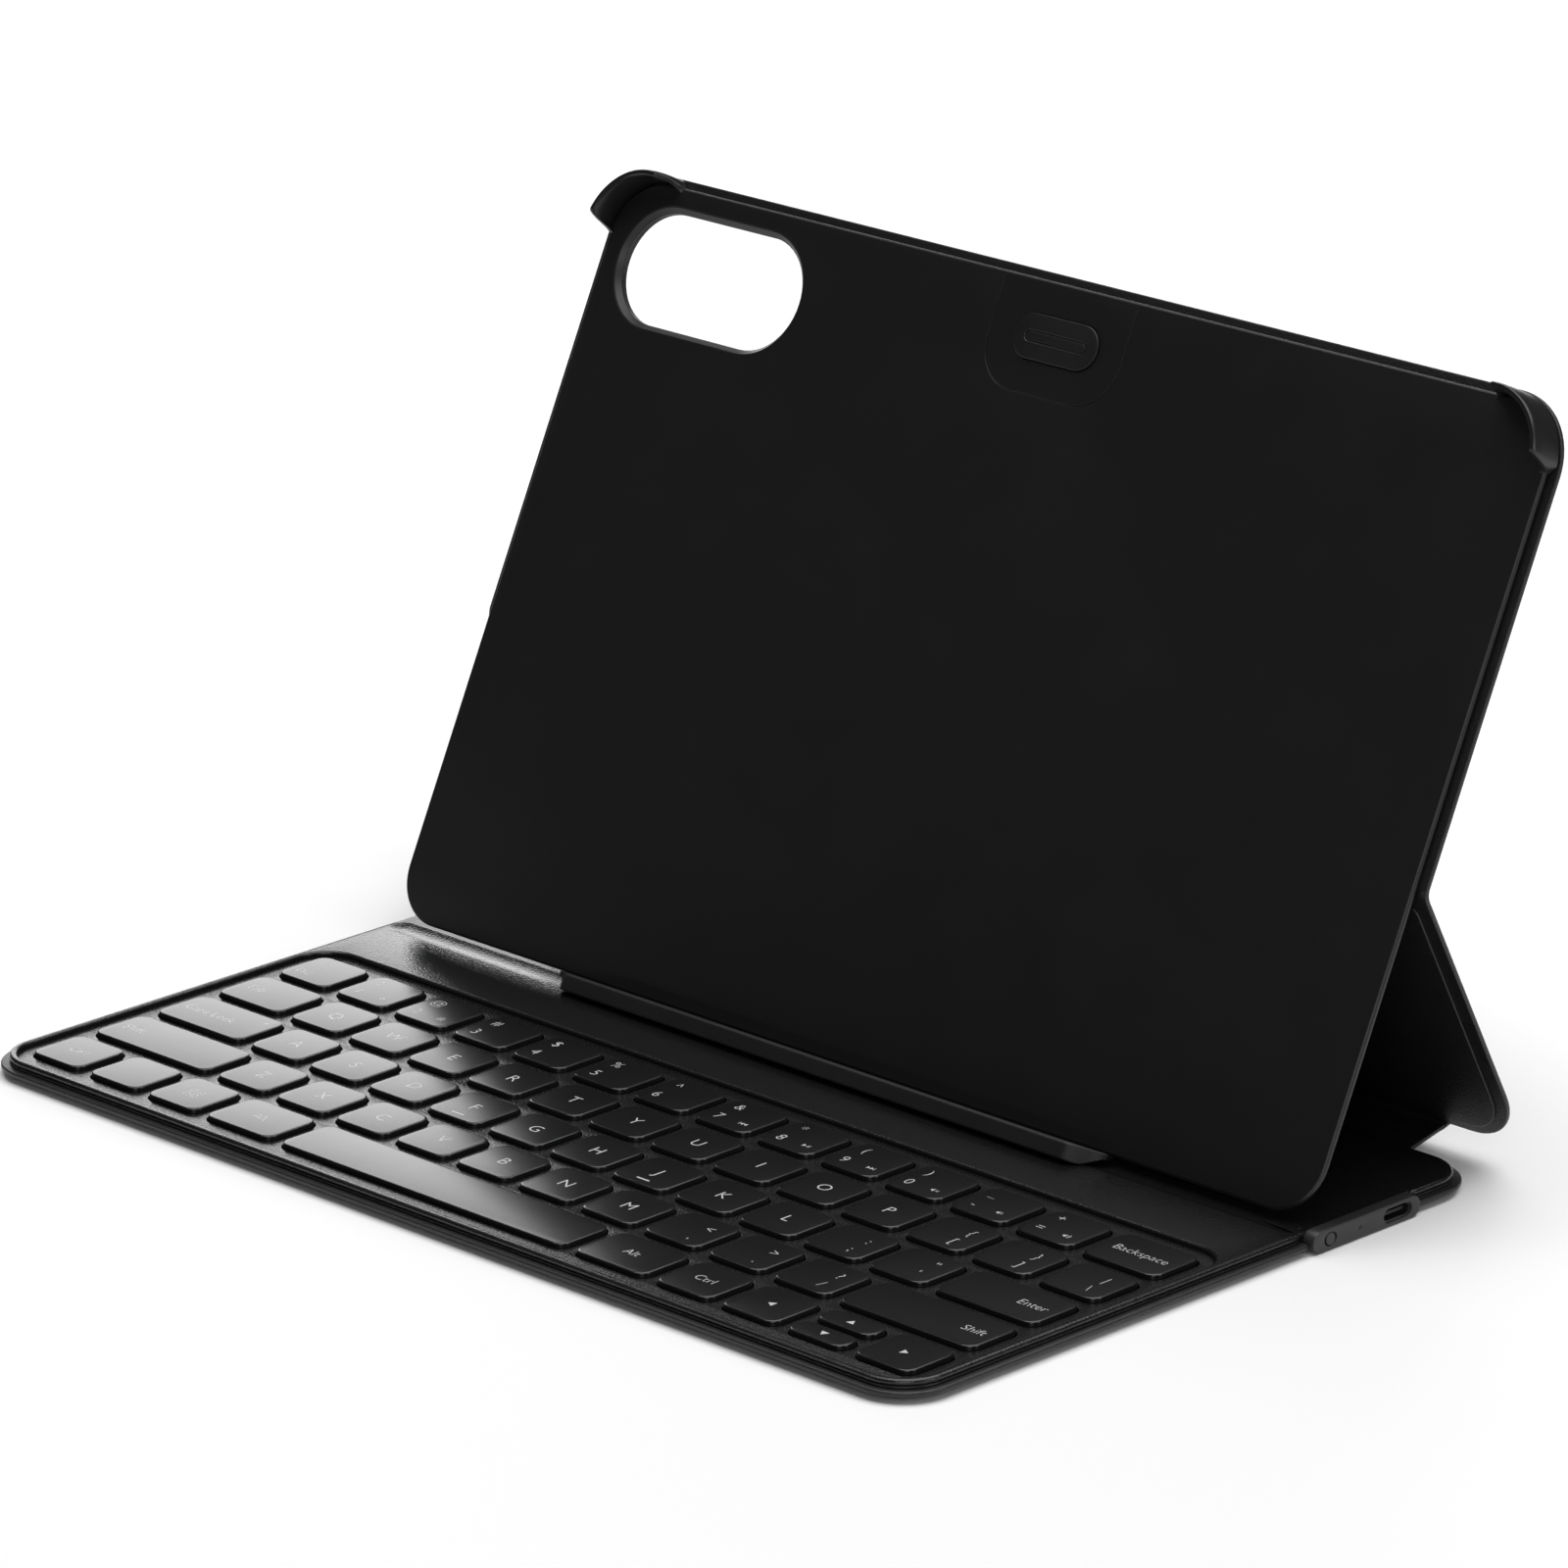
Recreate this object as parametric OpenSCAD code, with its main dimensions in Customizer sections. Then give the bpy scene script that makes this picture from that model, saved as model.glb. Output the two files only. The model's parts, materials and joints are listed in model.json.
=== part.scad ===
// Tablet keyboard case: a leather-covered keyboard base, a folding stand
// flap on a narrow spine, and a tablet tray with corner clips and a lip.
// Millimetres, +Z up, +X to the right of the typist, +Y away from the typist.
// The origin is the centre of the face that lies on the desk.

/* [Base] */
// Width of the leather brim, side to side
base_w = 285; // [283:1:288]
// Depth of the leather brim, front to back
base_d = 179.3; // [178:0.1:182]
// Corner radius of the brim
base_r = 12.5; // [10:0.5:16]
// Thickness of the outer leather sheet
skin_t = 1.2; // [1:0.1:1.3]
// Height of the underside of the brim above the desk
brim_z = 1.3; // [1.2:0.1:1.5]
// How far the brim stands out around the deck
brim_margin = 1.9; // [1.5:0.1:2.5]
// Height of the deck's top surface above the desk
deck_z = 4.5; // [4.4:0.1:5]
// Half width of the keyboard well
well_half_w = 138.8; // [138:0.1:139]
// Front edge of the keyboard well
well_front = -85.85; // [-86:0.05:-85]
// Rear edge of the keyboard well
well_rear = 12.35; // [12:0.05:14]
// Height of the floor around the keys
well_floor_z = 3.3; // [3.1:0.1:3.4]

/* [Keys] */
// Distance between neighbouring key centres along a row
key_pitch = 19.1; // [19:0.05:19.15]
// Distance between rows
row_pitch = 18.45; // [18.3:0.05:18.6]
// Gap between neighbouring keycaps
key_gap = 3.3; // [3:0.1:3.5]
// Width of the whole key field
field_w = 269.5; // [269:0.1:270]
// Centre of the number row, front to back
number_row_y = 0.3; // [0:0.1:1]
// Height of the keycaps' top faces at rest
key_top_z = 4.4; // [4.3:0.1:4.6]
// Thickness of a keycap
key_t = 1.4; // [1.3:0.1:1.5]
// Corner radius of a keycap
key_r = 2.8; // [1.5:0.1:3]
// Width of the tab key
tab_w = 20.6; // [20:0.1:21]
// Width of the caps lock key
caps_w = 27.7; // [27:0.1:28]
// Width of the left shift key
shift_w = 37.1; // [36:0.1:38]
// Width of each alt key
alt_w = 20.8; // [20:0.1:21]

/* [Stand] */
// Lean of the tray, from the desk
lean = 64.5; // [60:0.5:66]
// Slope of the flap, from the desk
flap_slope = 62; // [60:0.5:64]
// Length of the flap between its two folds
flap_len = 75; // [74:0.5:76]
// Height of the middle fold above the tray's bottom edge, along the tray
fold_s = 72.5; // [71:0.5:74]
// Half width of the narrow spine strip
spine_half_w = 121; // [110:1:125]
// Corner radius of the flap's free corners
flap_r = 15; // [10:1:18]

/* [Tray] */
// Width of the tray
tray_w = 280.8; // [280:0.2:282]
// Height of the tray along its face
tray_h = 179; // [178:0.5:180]
// Thickness of the tray
tray_t = 1.3; // [1.2:0.1:1.5]
// Depth of the tablet's edge that the clips hold
tablet_t = 6.4; // [6:0.1:6.8]
// Bottom edge of the tray's face: distance behind the origin
tray_y = 34.4; // [34:0.1:35]
// Bottom edge of the tray's face: height above the desk
tray_z = 6.6; // [6.5:0.1:7]
// Length of the lip along the tray's bottom edge
lip_l = 168; // [150:1:170]
// Camera opening, straight part of its length
camera_straight = 29.3; // [20:0.1:32]
// Camera opening, radius of its ends at the back
camera_r = 13.3; // [10:0.1:14]

/* [Port bar] */
// Centre of the port bar, front to back
bar_y = 50.2; // [48:0.1:52]
// Length of the port bar
bar_l = 34.3; // [33:0.1:36]
// Height of the port bar
bar_h = 4.9; // [4.8:0.1:5]
// Outer face of the port bar, from the origin
bar_x = 143.3; // [143:0.1:144]

/* [Hidden] */
$fn = 48;
CHAR_COLUMNS = 12;
COLUMN_NAMES = ["1_q_a_z", "2_w_s_x", "3_e_d_c", "4_r_f_v", "5_t_g_b", "6_y_h_n",
                "7_u_j_m", "8_i_k_comma", "9_o_l_period", "0_p_semicolon_slash",
                "minus_bracket_quote", "equals_bracket"];
SPECIAL_NAMES = ["esc", "backspace", "tab", "backslash", "caps_lock", "enter",
                 "shift_left", "shift_right", "ctrl_left", "fn", "menu", "alt_left",
                 "space", "alt_right", "ctrl_right", "arrow_left", "arrow_up",
                 "arrow_down", "arrow_right"];

// base stack, heights above the desk
floor_t = 0.8;                        // leather and board under the whole base
brim_top = brim_z + skin_t;
pan_inset = 5;                        // the flat underside stops this far inside the brim
pan_wall = 1;
deck_skin_t = 0.8;
deck_step = 0.5;                      // the deck's top edge is set in by this much
deck_half_w = base_w / 2 - brim_margin;
deck_half_d = base_d / 2 - brim_margin;
deck_r = base_r - brim_margin;
well_r = 8.5;
well_d = well_rear - well_front;
well_y = (well_rear + well_front) / 2;

// groove that the tray's lip stands in
groove_y = 33.65;
groove_w = 5.2;
groove_half_l = 138.6;
groove_floor_z = 3.9;
rib_w = 8.6;                          // solid band of deck around the groove

// keys
key_w = key_pitch - key_gap;
key_d = row_pitch - key_gap;
half_key_d = 6.6;                     // the up and down keys share one place
cut_gap = 0.4;                        // clearance between a keycap and the frame
field_left = -field_w / 2;
dome_r = 2.6;
sheet_t = 0.25;                       // membrane thickness
function row_y(row) = number_row_y - row_pitch * row;
// a key is [left edge, centre y, width, depth]
function key_at(x, row, w) = [x, row_y(row), w, key_d];
// first character key of each row
row_start = [field_left + key_pitch,
             field_left + tab_w + key_gap,
             field_left + caps_w + key_gap,
             field_left + shift_w + key_gap];
row_count = [12, 12, 11, 10];
function row_end(row) = row_start[row] + row_count[row] * key_pitch;
function to_right_edge(x) = -field_left - x;
ctrl_right_x = -field_left - 4 * key_pitch + key_gap;
alt_right_x = ctrl_right_x - alt_w - key_gap;
alt_left_x = field_left + 3 * key_pitch;
space_x = alt_left_x + alt_w + key_gap;
space_w = alt_right_x - key_gap - space_x;
half_key_y = (key_d - half_key_d) / 2;
arrow_x = ctrl_right_x + key_pitch;
special_keys = [
    key_at(field_left, 0, key_w),
    key_at(row_end(0), 0, to_right_edge(row_end(0))),
    key_at(field_left, 1, tab_w),
    key_at(row_end(1), 1, to_right_edge(row_end(1))),
    key_at(field_left, 2, caps_w),
    key_at(row_end(2), 2, to_right_edge(row_end(2))),
    key_at(field_left, 3, shift_w),
    key_at(row_end(3), 3, to_right_edge(row_end(3))),
    key_at(field_left, 4, key_w),
    key_at(field_left + key_pitch, 4, key_w),
    key_at(field_left + 2 * key_pitch, 4, key_w),
    key_at(alt_left_x, 4, alt_w),
    key_at(space_x, 4, space_w),
    key_at(alt_right_x, 4, alt_w),
    key_at(ctrl_right_x, 4, key_w),
    key_at(arrow_x, 4, key_w),
    [arrow_x + key_pitch, row_y(4) + half_key_y, key_w, half_key_d],
    [arrow_x + key_pitch, row_y(4) - half_key_y, key_w, half_key_d],
    key_at(arrow_x + 2 * key_pitch, 4, key_w)];
// the keys that one finger column presses: one per row, as far as the row goes
function column_keys(col) =
    [for (row = [0:3]) if (col < row_count[row])
        key_at(row_start[row] + col * key_pitch, row, key_w)];
all_keys = concat(special_keys, [for (col = [0:CHAR_COLUMNS - 1]) each column_keys(col)]);

// stand: the three folds run along X, given as [y, z]
fold_gap = 1.1;                       // each panel stops this far from its fold line
middle_gap = 2.1;                     // and this far from the middle fold, which bends furthest
tray_back = tray_t + 0.6;             // board between the tray and its leather
spine_fold = [base_d / 2 + 0.35, brim_z + skin_t / 2];
leather_mid = tray_back + skin_t / 2;
cover_fold = [tray_y + fold_s * cos(lean) + leather_mid * sin(lean),
              tray_z + fold_s * sin(lean) - leather_mid * cos(lean)];
flap_fold = [cover_fold[0] + flap_len * cos(flap_slope),
             cover_fold[1] - flap_len * sin(flap_slope)];
spine_run = flap_fold - spine_fold;
spine_angle = atan2(spine_run[1], spine_run[0]);
spine_len = norm(spine_run);
cover_margin = 2;                     // leather that shows around the tray
board_inset = 3.5;                    // leather that shows around the flap's stiffening board
board_t = 0.6;
magnet_t = 0.5;

// tray details, in the tray's own plane: X across, Y up the face, Z to the front
tray_r_low = 12;
tray_r_top = 14;
camera_pos = [-106, 159.8];
camera_flare = 1;                     // the opening is this much wider, all round, at the front
coil_half_w = 19.8;
coil_low = 153.2;
coil_r = 11;
insert_t = 0.6;
pad_pos = [0, 166];
pad_r = 5.2;
pad_straight = 14.4;
pad_rise = 0.5;
lip_depth = tablet_t + 0.3;
lip_h = 4;
clip_out = 1.7;                       // the clip's wall stands this far outside the tray's edge
clip_in = 0.2;                        // and this far inside it
clip_h = tablet_t + 1.1;
clip_hook = 1.2;                      // the clip's hook reaches this far inside the tray's edge
clip_reach_x = 18.4;                  // how far a clip runs along the top edge
clip_reach_y = 14;                    // how far a clip runs down the side

// port bar details
bar_depth = 6.1;
bar_face_depth = 3.1;
bar_neck_r = 1.75;
port_z = bar_h / 2;
usb_y = bar_y + 9.95;
led_y = bar_y - 2.4;
button_y = bar_y - 11.6;
button_r = 1.4;
button_clear = 0.15;
usb_w = 9;
usb_h = 3.2;
usb_wall = 0.32;
usb_len = 8;
usb_recess = 0.7;

// ---- plane shapes ----
module round_rect(w, d, r) {
    square([w - 2 * r, d], center = true);
    square([w, d - 2 * r], center = true);
    for (x = [-1, 1], y = [-1, 1])
        translate([x * (w / 2 - r), y * (d / 2 - r)]) circle(r);
}

// a panel from y0 to y1 with its own radius at the low and the high corners
module panel(w, y0, y1, r_low, r_high) {
    translate([-w / 2, y0 + r_low]) square([w, y1 - y0 - r_low - r_high]);
    translate([-w / 2 + r_low, y0]) square([w - 2 * r_low, r_low]);
    translate([-w / 2 + r_high, y1 - r_high]) square([w - 2 * r_high, r_high]);
    for (x = [-1, 1]) {
        translate([x * (w / 2 - r_low), y0 + r_low]) circle(max(r_low, 0.01));
        translate([x * (w / 2 - r_high), y1 - r_high]) circle(max(r_high, 0.01));
    }
}

module stadium(straight, r) {
    square([straight, 2 * r], center = true);
    for (x = [-1, 1]) translate([x * straight / 2, 0]) circle(r);
}

module slab(z0, z1) {
    translate([0, 0, z0]) linear_extrude(z1 - z0) children();
}

// stands a shape drawn in the (Y, Z) plane along +X, from x0 to x1
module along_x(x0, x1) {
    translate([x0, 0, 0]) rotate([90, 0, 90]) linear_extrude(x1 - x0) children();
}

// the port bar: a full-height face, and a lower neck that runs in under the deck's leather
module port_block(reach) {
    along_x(bar_x - bar_face_depth, bar_x + reach)
        translate([bar_y, port_z]) stadium(bar_l - bar_h, bar_h / 2);
    along_x(bar_x - bar_depth, bar_x - bar_face_depth)
        translate([bar_y, port_z]) stadium(bar_l - bar_h, bar_neck_r);
}

// the space that the port bar and the socket behind it take out of the base
module port_space() {
    port_block(1);
    along_x(bar_x - usb_recess - usb_len - 0.2, bar_x)
        translate([usb_y, port_z]) stadium(usb_w - usb_h, usb_h / 2 + 0.1);
}

// ---- keyboard base ----
module base_skin() {
    color("#26262a") difference() {
        union() {
            slab(0, brim_z) round_rect(base_w - 2 * pan_inset, base_d - 2 * pan_inset, base_r - 4);
            slab(brim_z, brim_top) round_rect(base_w, base_d, base_r);
        }
        slab(floor_t, brim_top + 1)
            round_rect(base_w - 2 * (pan_inset + pan_wall),
                       base_d - 2 * (pan_inset + pan_wall), base_r - 5);
        port_space();
    }
}

module deck_skin() {
    pocket_x = deck_half_w - 1;
    groove_front = groove_y - rib_w / 2;
    groove_back = groove_y + rib_w / 2;
    color("#2b2b2e") difference() {
        union() {
            slab(brim_top, deck_z - 0.6) round_rect(2 * deck_half_w, 2 * deck_half_d, deck_r);
            slab(brim_top, deck_z)
                round_rect(2 * (deck_half_w - deck_step), 2 * (deck_half_d - deck_step),
                           deck_r - deck_step);
        }
        // keyboard well, with a ledge under its rim for the key frame
        translate([0, well_y]) slab(brim_top - 1, deck_z + 1)
            round_rect(2 * well_half_w, well_d, well_r);
        translate([0, well_y]) slab(brim_top - 1, well_floor_z)
            round_rect(2 * well_half_w + 1.4, well_d + 1.4, well_r);
        // hollow in front of and behind the groove
        slab(brim_top - 1, deck_z - deck_skin_t) {
            translate([-pocket_x, well_rear + 1.5])
                square([2 * pocket_x, groove_front - well_rear - 1.5]);
            translate([0, (groove_back + deck_half_d - 1) / 2])
                round_rect(2 * pocket_x, deck_half_d - 1 - groove_back, 6);
        }
        translate([0, groove_y]) slab(groove_floor_z, deck_z + 1)
            stadium(2 * groove_half_l - groove_w, groove_w / 2);
        port_space();
    }
}

module key_outline(k, grow) {
    translate([k[0] + k[2] / 2, k[1]])
        round_rect(k[2] + 2 * grow, k[3] + 2 * grow, key_r + grow);
}

module key_frame() {
    color("#222225") difference() {
        union() {
            translate([0, well_y]) slab(well_floor_z - board_t, well_floor_z)
                round_rect(2 * well_half_w + 1.4, well_d + 1.4, well_r);
            translate([0, well_y]) slab(brim_top, well_floor_z - board_t) difference() {
                round_rect(2 * well_half_w + 1.4, well_d + 1.4, well_r);
                round_rect(2 * well_half_w - 4, well_d - 4, well_r - 2);
            }
        }
        for (k = all_keys) slab(0, deck_z) key_outline(k, cut_gap);
    }
}

module membrane() {
    color("#8f9a8c") translate([0, well_y]) slab(floor_t, floor_t + sheet_t)
        round_rect(2 * well_half_w - 6.4, well_d - 6.4, 4);
}

// the domes are drawn at the height that they have under a pressed key
module rubber_domes() {
    dome_z = floor_t + sheet_t;
    pressed_z = key_top_z - key_t - 1.05;
    color("#d9d9d2") for (k = all_keys)
        translate([k[0] + k[2] / 2, k[1], dome_z]) {
            cylinder(r = dome_r, h = 0.3);
            cylinder(r = dome_r - 1, h = pressed_z - dome_z);
        }
}

// the crossed links lie flat, as they do under a pressed key
module scissor_frames() {
    link_z = floor_t + sheet_t;
    color("#e8e8e8") for (k = all_keys) if (k[3] > 10)
        translate([k[0] + k[2] / 2, k[1]]) slab(link_z, link_z + 0.5) difference() {
            square([12, 10.5], center = true);
            square([10, 8.5], center = true);
        }
}

module rear_frame() {
    front = well_rear + 2.4;
    back = deck_half_d - 4.2;
    half = base_w / 2 - pan_inset - pan_wall - 0.2;
    bay_front = groove_y + rib_w / 2 + 1.4;
    color("#3a3a3d") slab(floor_t, brim_top) difference() {
        translate([0, (front + back) / 2]) round_rect(2 * half, back - front, base_r - 4.5);
        translate([-half + 1.5, front + 1.5])
            square([2 * half - 3, groove_y - rib_w / 2 - front - 1.5]);
        translate([-half + 1.5, groove_y - 2.4]) square([2 * half - 3, 4.8]);
        for (bay = [[-half + 1.5, -70], [-67, 43], [46, half - 1.5]])
            translate([bay[0], bay_front])
                square([bay[1] - bay[0], back - 1.5 - bay_front]);
        translate([bar_x - bar_depth - 4, bar_y - bar_l / 2])
            square([bar_depth + 4, bar_l]);
    }
}

module circuit_board() {
    color("#1d5b38") translate([50, 42, floor_t + 0.2]) difference() {
        union() {
            cube([83, 30, 0.8]);
            for (chip = [[8, 8, 9, 9], [24, 10, 6, 6], [36, 6, 12, 8], [56, 18, 8, 5]])
                translate([chip[0], chip[1], 0.8]) cube([chip[2], chip[3], 1]);
        }
        translate([4, 26, -1]) cylinder(r = 1.2, h = 4);
    }
}

module battery() {
    color("#9aa0a8") translate([-12, 60.5]) slab(floor_t + 0.1, deck_z - deck_skin_t - 0.2)
        round_rect(104, 36, 1.5);
}

module groove_magnets() {
    color("silver") for (i = [-2:2])
        translate([i * 34, groove_y]) slab(floor_t, brim_top - 0.1) square([22, 4.2], center = true);
}

// ---- port bar at the right-hand end ----
module port_bar() {
    color("#3b3b3e") difference() {
        port_block(0);
        along_x(bar_x - bar_depth - 1, bar_x + 1)
            translate([usb_y, port_z]) stadium(usb_w - usb_h, usb_h / 2);
        translate([bar_x - bar_depth - 1, led_y, port_z]) rotate([0, 90, 0])
            cylinder(r = 0.45, h = bar_depth + 2);
        translate([bar_x - bar_depth - 1, button_y, port_z]) rotate([0, 90, 0])
            cylinder(r = button_r + button_clear, h = bar_depth + 2);
    }
}

module usb_shell() {
    face = bar_x - usb_recess;
    color("#b9bcc0") difference() {
        along_x(face - usb_len, face)
            translate([usb_y, port_z]) stadium(usb_w - usb_h, usb_h / 2);
        along_x(face - usb_len + 0.5, face + 1)
            translate([usb_y, port_z]) stadium(usb_w - usb_h, usb_h / 2 - usb_wall);
    }
}

module usb_tongue() {
    color("#1b1b1d") translate([bar_x - usb_recess - usb_len + 0.5, usb_y - 3.3, port_z - 0.35])
        cube([usb_len - 1.3, 6.6, 0.7]);
}

module led_window() {
    color("#e6e6e6") translate([bar_x - bar_depth, led_y, port_z]) rotate([0, 90, 0])
        cylinder(r = 0.45, h = bar_depth - 0.2);
}

module pairing_button() {
    color("#3b3b3e") translate([bar_x - 3, button_y, port_z]) rotate([0, 90, 0])
        cylinder(r = button_r, h = 2.95);
}

// ---- keycaps ----
module keycap(k) {
    slab(key_top_z - key_t, key_top_z) key_outline(k, 0);
}

module special_key(i) {
    color("#303034") keycap(special_keys[i]);
}

module character_keys(col) {
    color("#37373b") for (k = column_keys(col)) keycap(k);
}

// ---- spine and flap ----
module on_spine() {
    translate([0, spine_fold[0], spine_fold[1]]) rotate([spine_angle, 0, 0]) children();
}

// the flap's plane: Y up the flap from its lower fold, Z to its inner side
module on_flap() {
    translate([0, flap_fold[0], flap_fold[1]]) rotate([180 - flap_slope, 0, 0]) children();
}

module spine_skin() {
    color("#26262a") on_spine() slab(-skin_t / 2, skin_t / 2)
        translate([-spine_half_w, fold_gap])
            square([2 * spine_half_w, spine_len - 2 * fold_gap]);
}

module flap_skin() {
    color("#26262a") on_flap() slab(-skin_t / 2, skin_t / 2)
        panel(base_w, fold_gap, flap_len - middle_gap, flap_r, 0);
}

module magnet_row(y, half_w, size) {
    for (x = [-1, 1]) translate([x * half_w, y]) square(size, center = true);
}

module flap_board() {
    color("#1c1c1e") on_flap() slab(skin_t / 2, skin_t / 2 + board_t) difference() {
        panel(base_w - 2 * board_inset, board_inset, flap_len - board_inset,
              flap_r - board_inset, 2);
        magnet_row(flap_len / 2, 80, [30, 10]);
    }
}

module flap_magnets() {
    color("silver") on_flap() slab(skin_t / 2, skin_t / 2 + magnet_t)
        magnet_row(flap_len / 2, 80, [30, 10]);
}

// ---- tray and its cover ----
module on_tray() {
    translate([0, tray_y, tray_z]) rotate([lean, 0, 0]) children();
}

module camera_hole(grow) {
    translate(camera_pos) stadium(camera_straight, camera_r + grow);
}

// the opening in the tray, which widens towards the front in two steps
module camera_opening() {
    slab(-tray_t - 1, 1) camera_hole(0);
    slab(-tray_t * 2 / 3, 1) camera_hole(camera_flare / 2);
    slab(-tray_t / 3, 1) camera_hole(camera_flare);
}

module cover_skin() {
    color("#26262a") on_tray() slab(-tray_back - skin_t, -tray_back) difference() {
        panel(tray_w + 2 * cover_margin + 0.2, fold_s + middle_gap, tray_h + cover_margin,
              0, tray_r_top + cover_margin);
        camera_hole(0);
    }
}

module cover_board() {
    color("#1c1c1e") on_tray() slab(-tray_back, -tray_t) difference() {
        panel(tray_w - 3, fold_s + 3, tray_h - 1.5, 2, tray_r_top - 1.5);
        camera_hole(0);
        magnet_row(120, 90, [40, 12]);
        translate([0, 90]) magnet_row(0, 40, [20, 8]);
    }
}

module cover_magnets() {
    color("silver") on_tray() slab(-tray_back, -tray_back + magnet_t) {
        magnet_row(120, 90, [40, 12]);
        translate([0, 90]) magnet_row(0, 40, [20, 8]);
    }
}

module coil_outline(grow) {
    panel(2 * (coil_half_w + grow), coil_low - grow, tray_h, coil_r + grow, 0);
}

module tray() {
    color("#1f1f21") on_tray() difference() {
        slab(-tray_t, 0) panel(tray_w, 0, tray_h, tray_r_low, tray_r_top);
        camera_opening();
        slab(-insert_t, 1) coil_outline(0);
        slab(-tray_t - 1, 1) translate(pad_pos) stadium(pad_straight, pad_r);
    }
}

module coil_insert() {
    color("#1f1f21") on_tray() slab(-insert_t, 0) difference() {
        coil_outline(0);
        translate(pad_pos) stadium(pad_straight, pad_r);
    }
}

module coil_pad() {
    color("#232325") on_tray() difference() {
        slab(-insert_t, pad_rise) translate(pad_pos) stadium(pad_straight, pad_r);
        slab(pad_rise - 0.2, 1) translate(pad_pos) difference() {
            stadium(15.6, 1.3);
            stadium(15.6, 1);
        }
    }
}

module charging_coil() {
    color("#b87333") on_tray() slab(-tray_t, -insert_t) translate(pad_pos) difference() {
        stadium(pad_straight, pad_r - 0.4);
        stadium(pad_straight, pad_r - 2.6);
    }
}

// the lip's cross-section, drawn as [distance in front of the tray, height]: a ledge for
// the tablet in front, and a foot behind that stands in the deck's groove
module lip_section() {
    polygon([[0, 0], [lip_depth, 0], [lip_depth, -lip_h], [1.9, -2.7], [-0.5, -2.55],
             [-tray_t, -2.2], [-tray_t, 0]]);
}

module tray_lip() {
    end_run = 6;                      // the lip's ends narrow over this length
    half = lip_l / 2;
    color("#1c1c1e") on_tray() intersection() {
        translate([-half, 0, 0]) rotate([90, 0, 90]) linear_extrude(2 * half)
            rotate(90) mirror([0, 1]) lip_section();
        translate([0, 1, 0]) rotate([90, 0, 0]) linear_extrude(8)
            polygon([[-half, -tray_t - 1], [half, -tray_t - 1], [half, 1.5],
                     [half - end_run, lip_depth + 0.1], [-half + end_run, lip_depth + 0.1],
                     [-half, 1.5]]);
    }
}

// the band that a corner clip follows, from `inner` to `outer` beyond the tray's edge
module clip_band(side, inner, outer) {
    reach = 60;
    intersection() {
        difference() {
            panel(tray_w + 2 * outer, 0, tray_h + outer, 1, tray_r_top + outer);
            panel(tray_w + 2 * inner, -1, tray_h + inner, 1, tray_r_top + inner);
        }
        translate([side > 0 ? tray_w / 2 - clip_reach_x : -tray_w / 2 - reach + clip_reach_x,
                   tray_h - clip_reach_y])
            square([reach, reach]);
    }
}

module clip(side) {
    on_tray() {
        slab(-tray_t, 0) clip_band(side, 0, clip_out);
        slab(0, clip_h) clip_band(side, -clip_in, clip_out);
        slab(tablet_t, clip_h) clip_band(side, -clip_hook, -clip_in);
    }
}

module left_clip() { color("#2a2a2c") clip(-1); }
module right_clip() { color("#2a2a2c") clip(1); }

base_skin();
deck_skin();
key_frame();
membrane();
rubber_domes();
scissor_frames();
rear_frame();
circuit_board();
battery();
groove_magnets();
port_bar();
usb_shell();
usb_tongue();
led_window();
pairing_button();
spine_skin();
flap_skin();
flap_board();
flap_magnets();
cover_skin();
cover_board();
cover_magnets();
tray();
tray_lip();
left_clip();
right_clip();
coil_insert();
coil_pad();
charging_coil();
for (i = [0:len(SPECIAL_NAMES) - 1])
    special_key(i);
for (col = [0:CHAR_COLUMNS - 1])
    character_keys(col);
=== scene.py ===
"""A tablet keyboard case, standing open: leather base with keys, stand flap and tablet tray.

Lengths are millimetres until a mesh is made. Tray pieces are drawn in the tray's own plane:
X across, Y up the face, Z to the front.
"""
import json
import math

import bmesh
import bpy
from mathutils import Matrix, Vector


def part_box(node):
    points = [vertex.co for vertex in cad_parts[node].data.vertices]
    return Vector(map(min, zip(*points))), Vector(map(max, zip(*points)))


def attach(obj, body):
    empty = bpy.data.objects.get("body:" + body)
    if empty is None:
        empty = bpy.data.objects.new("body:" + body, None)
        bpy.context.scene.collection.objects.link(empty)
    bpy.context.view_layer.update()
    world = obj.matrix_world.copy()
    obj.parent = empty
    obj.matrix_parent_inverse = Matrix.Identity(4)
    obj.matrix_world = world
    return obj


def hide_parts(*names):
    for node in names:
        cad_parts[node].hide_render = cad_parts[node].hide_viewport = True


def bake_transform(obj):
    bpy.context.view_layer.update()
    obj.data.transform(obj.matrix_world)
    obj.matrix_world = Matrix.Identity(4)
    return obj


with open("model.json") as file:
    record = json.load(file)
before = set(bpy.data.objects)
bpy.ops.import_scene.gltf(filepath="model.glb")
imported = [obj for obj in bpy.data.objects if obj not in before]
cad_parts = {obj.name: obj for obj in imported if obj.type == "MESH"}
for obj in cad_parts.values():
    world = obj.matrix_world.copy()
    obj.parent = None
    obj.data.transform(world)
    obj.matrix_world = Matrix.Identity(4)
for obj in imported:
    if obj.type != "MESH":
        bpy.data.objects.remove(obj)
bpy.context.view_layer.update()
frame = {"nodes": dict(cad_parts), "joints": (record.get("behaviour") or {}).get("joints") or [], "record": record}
scene = bpy.context.scene
MM = 0.001


def mm(point):
    """A point of the frame, in millimetres."""
    return [v / MM for v in point]


def node_box(node):
    low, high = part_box(node)
    return mm(low), mm(high)


def joint_at(name):
    """Where a fold is, as (y, z) in millimetres."""
    for joint in frame["joints"]:
        if joint["name"] == name:
            place = joint["pos_m"]
            return place[1] / MM, place[2] / MM
    raise ValueError(name)


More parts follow.
